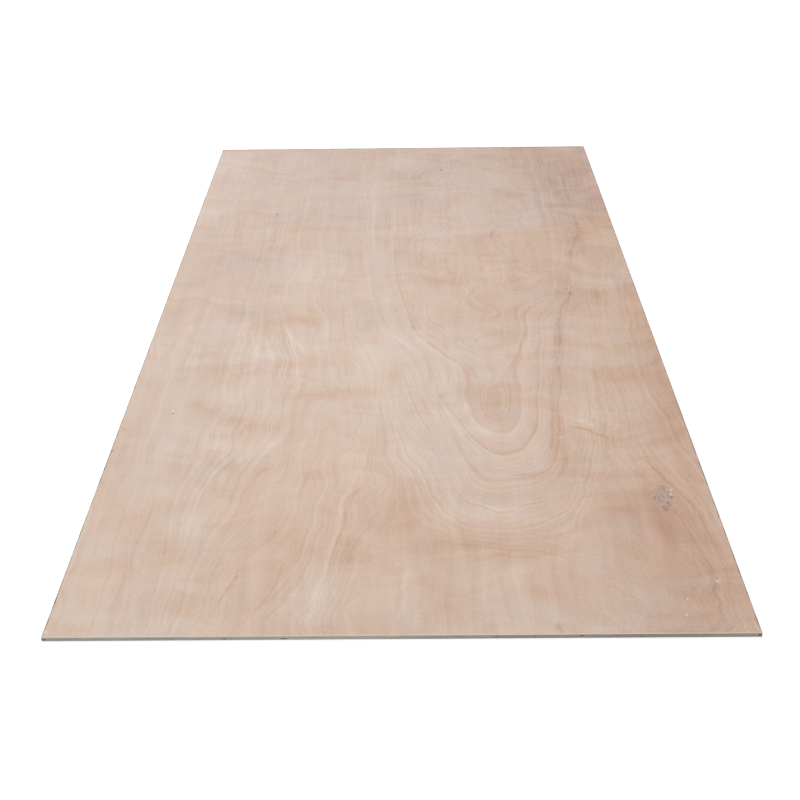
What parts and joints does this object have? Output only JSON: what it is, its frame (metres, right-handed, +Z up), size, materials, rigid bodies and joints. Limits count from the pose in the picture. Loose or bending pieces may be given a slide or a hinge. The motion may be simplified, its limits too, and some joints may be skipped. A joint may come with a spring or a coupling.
{
  "type": "plywood sheet",
  "caption": "Flat rectangular sheet of veneer-faced plywood with straight sawn edges and small core gaps, lying flat.",
  "frame": {"origin": "middle of the underside", "axes": "+Y along the length and the face grain, +Z up through the thickness"},
  "size_m": [1.22, 2.44, 0.0075],
  "materials": {
    "plywood": "sanded, unfinished pinkish-tan veneer"
  },
  "bodies": {
    "root": {"plywood_sheet": "plywood"}
  },
  "joints": []
}
